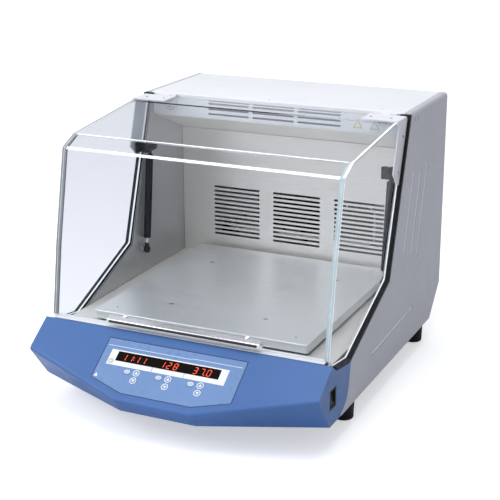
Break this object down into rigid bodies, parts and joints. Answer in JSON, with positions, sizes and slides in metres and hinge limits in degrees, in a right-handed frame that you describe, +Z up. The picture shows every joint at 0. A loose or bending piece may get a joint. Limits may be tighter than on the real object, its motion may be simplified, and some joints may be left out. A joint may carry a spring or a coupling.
{
  "type": "incubating orbital shaker",
  "caption": "Bench incubating shaker: a tray that orbits in a heated chamber under a clear hinged hood, with a sloped control panel.",
  "frame": {"origin": "centre of the footprint on the bench, under the feet", "axes": "+X to the operator's right, +Y towards the back, +Z up"},
  "size_m": [0.58, 0.75, 0.52],
  "materials": {
    "housing_grey": "light grey powder coat, fine texture",
    "housing_top": "light grey powder coat, fine texture",
    "chamber_sheet": "satin stainless sheet",
    "tray_sheet": "satin stainless sheet",
    "blue_plastic": "satin moulded plastic",
    "membrane_blue": "satin printed foil",
    "display_white": "printed frame round a dark display filter",
    "circuit_board": "board with modules",
    "key_blue": "satin key cap",
    "black_plastic": "black moulding",
    "acrylic": "clear cast acrylic with polished edges",
    "black_rubber": "soft black rubber",
    "hinge_sheet": "light grey coated sheet",
    "rail_aluminium": "anodised",
    "strut_black": "black lacquer",
    "rod_steel": "ground and plated",
    "machined_steel": "turned",
    "cast_aluminium": "cast and machined",
    "black_steel": "black coated steel",
    "zinc_sheet": "zinc plated sheet",
    "screw_steel": "plated"
  },
  "bodies": {
    "housing": {"base_plate": "zinc_sheet", "feet": "black_rubber", "right_side_panel": "housing_grey", "left_side_panel": "housing_grey", "top_cover": "housing_top", "back_panel": "housing_grey", "vent_panel": "housing_top", "chamber_side_walls": "chamber_sheet", "chamber_back_wall": "chamber_sheet", "chamber_ceiling": "chamber_sheet", "chamber_floor": "chamber_sheet", "front_sill": "housing_top", "hood_seals": "black_rubber", "front_shell": "blue_plastic", "control_membrane": "membrane_blue", "display_window": "display_white", "control_board": "circuit_board", "rocker_bezel": "black_plastic", "hinge_blocks": "hinge_sheet", "pivot_studs": "machined_steel", "bearing_housings": "cast_aluminium", "shaft_bearings": "machined_steel", "drive_belt": "black_rubber", "drive_motor": "black_steel", "fan_motor": "black_steel", "heater_element": "machined_steel", "temperature_sensor": "machined_steel", "power_supply": "zinc_sheet", "mains_inlet": "black_plastic", "panel_screws": "screw_steel"},
    "hood": {"hood_sheet": "acrylic", "hood_side_panes": "acrylic", "handle_rail": "rail_aluminium", "hinge_leaves": "hinge_sheet", "strut_brackets": "black_steel"},
    "left_strut_rod": {"left_strut_rod": "rod_steel"},
    "left_strut_cylinder": {"left_strut_cylinder": "strut_black"},
    "right_strut_rod": {"right_strut_rod": "rod_steel"},
    "right_strut_cylinder": {"right_strut_cylinder": "strut_black"},
    "drive_crank": {"main_crank": "machined_steel", "crank_pulley": "cast_aluminium"},
    "tray": {"tray": "tray_sheet", "tray_carrier": "cast_aluminium", "crank_bearings": "machined_steel", "tray_screws": "screw_steel"},
    "left_guide_crank": {"left_guide_crank": "machined_steel"},
    "right_guide_crank": {"right_guide_crank": "machined_steel"},
    "rear_guide_crank": {"rear_guide_crank": "machined_steel"},
    "motor_rotor": {"motor_pulley": "machined_steel"},
    "fan": {"fan_wheel": "black_plastic"},
    "power_rocker": {"rocker_switch": "black_plastic"},
    "timer_mode_key": {"timer_mode_key": "key_blue"},
    "timer_up_key": {"timer_up_key": "key_blue"},
    "timer_down_key": {"timer_down_key": "key_blue"},
    "speed_mode_key": {"speed_mode_key": "key_blue"},
    "speed_up_key": {"speed_up_key": "key_blue"},
    "speed_down_key": {"speed_down_key": "key_blue"},
    "heat_mode_key": {"heat_mode_key": "key_blue"},
    "heat_up_key": {"heat_up_key": "key_blue"},
    "heat_down_key": {"heat_down_key": "key_blue"}
  },
  "joints": [
    {"name": "hood_hinge", "type": "hinge", "parent": "housing", "child": "hood", "pos_m": [0, 0.1375, 0.5155], "axis": [-1, 0, 0], "range_deg": [0, 60]},
    {"name": "left_strut_swing", "type": "hinge", "parent": "housing", "child": "left_strut_rod", "pos_m": [-0.262, 0.08, 0.195], "axis": [1, 0, 0], "range_deg": [0, 15.7]},
    {"name": "left_strut_stroke", "type": "slide", "parent": "left_strut_rod", "child": "left_strut_cylinder", "axis": [0, 0.1179, 0.993], "range_m": [0, 0.0806]},
    {"name": "right_strut_swing", "type": "hinge", "parent": "housing", "child": "right_strut_rod", "pos_m": [0.262, 0.08, 0.195], "axis": [1, 0, 0], "range_deg": [0, 15.7]},
    {"name": "right_strut_stroke", "type": "slide", "parent": "right_strut_rod", "child": "right_strut_cylinder", "axis": [0, 0.1179, 0.993], "range_m": [0, 0.0806]},
    {"name": "crank_spin", "type": "hinge", "parent": "housing", "child": "drive_crank", "pos_m": [0, 0.0165, 0.12], "axis": [0, 0, 1], "continuous": true},
    {"name": "tray_orbit", "type": "hinge", "parent": "drive_crank", "child": "tray", "pos_m": [0, 0.0265, 0.155], "axis": [0, 0, 1], "continuous": true},
    {"name": "left_guide_spin", "type": "hinge", "parent": "housing", "child": "left_guide_crank", "pos_m": [-0.15, -0.0885, 0.12], "axis": [0, 0, 1], "continuous": true},
    {"name": "right_guide_spin", "type": "hinge", "parent": "housing", "child": "right_guide_crank", "pos_m": [0.15, -0.0885, 0.12], "axis": [0, 0, 1], "continuous": true},
    {"name": "rear_guide_spin", "type": "hinge", "parent": "housing", "child": "rear_guide_crank", "pos_m": [0, 0.1665, 0.12], "axis": [0, 0, 1], "continuous": true},
    {"name": "motor_spin", "type": "hinge", "parent": "housing", "child": "motor_rotor", "pos_m": [0.112, 0.098, 0.112], "axis": [0, 0, 1], "continuous": true},
    {"name": "fan_spin", "type": "hinge", "parent": "housing", "child": "fan", "pos_m": [0, 0.31, 0.24], "axis": [0, 1, 0], "continuous": true},
    {"name": "power_rocker_tilt", "type": "hinge", "parent": "housing", "child": "power_rocker", "pos_m": [0.279, -0.252, 0.096], "axis": [0, 1, 0], "range_deg": [0, 14]},
    {"name": "timer_mode_key_press", "type": "slide", "parent": "housing", "child": "timer_mode_key", "axis": [0, 0.5735, -0.8192], "range_m": [0, 0.0004], "stiffness_N_per_m": 1500},
    {"name": "timer_up_key_press", "type": "slide", "parent": "housing", "child": "timer_up_key", "axis": [0, 0.5735, -0.8192], "range_m": [0, 0.0004], "stiffness_N_per_m": 1500},
    {"name": "timer_down_key_press", "type": "slide", "parent": "housing", "child": "timer_down_key", "axis": [0, 0.5735, -0.8192], "range_m": [0, 0.0004], "stiffness_N_per_m": 1500},
    {"name": "speed_mode_key_press", "type": "slide", "parent": "housing", "child": "speed_mode_key", "axis": [0, 0.5735, -0.8192], "range_m": [0, 0.0004], "stiffness_N_per_m": 1500},
    {"name": "speed_up_key_press", "type": "slide", "parent": "housing", "child": "speed_up_key", "axis": [0, 0.5735, -0.8192], "range_m": [0, 0.0004], "stiffness_N_per_m": 1500},
    {"name": "speed_down_key_press", "type": "slide", "parent": "housing", "child": "speed_down_key", "axis": [0, 0.5735, -0.8192], "range_m": [0, 0.0004], "stiffness_N_per_m": 1500},
    {"name": "heat_mode_key_press", "type": "slide", "parent": "housing", "child": "heat_mode_key", "axis": [0, 0.5735, -0.8192], "range_m": [0, 0.0004], "stiffness_N_per_m": 1500},
    {"name": "heat_up_key_press", "type": "slide", "parent": "housing", "child": "heat_up_key", "axis": [0, 0.5735, -0.8192], "range_m": [0, 0.0004], "stiffness_N_per_m": 1500},
    {"name": "heat_down_key_press", "type": "slide", "parent": "housing", "child": "heat_down_key", "axis": [0, 0.5735, -0.8192], "range_m": [0, 0.0004], "stiffness_N_per_m": 1500}
  ],
  "couplings": [
    {"joint": "left_strut_swing", "follows": "hood_hinge", "ratio": 0.26004},
    {"joint": "left_strut_stroke", "follows": "hood_hinge", "m_per_rad": 0.076448},
    {"joint": "right_strut_swing", "follows": "hood_hinge", "ratio": 0.26004},
    {"joint": "right_strut_stroke", "follows": "hood_hinge", "m_per_rad": 0.076448},
    {"joint": "tray_orbit", "follows": "crank_spin", "ratio": -1},
    {"joint": "left_guide_spin", "follows": "crank_spin", "ratio": 1},
    {"joint": "right_guide_spin", "follows": "crank_spin", "ratio": 1},
    {"joint": "rear_guide_spin", "follows": "crank_spin", "ratio": 1},
    {"joint": "motor_spin", "follows": "crank_spin", "ratio": 3}
  ]
}
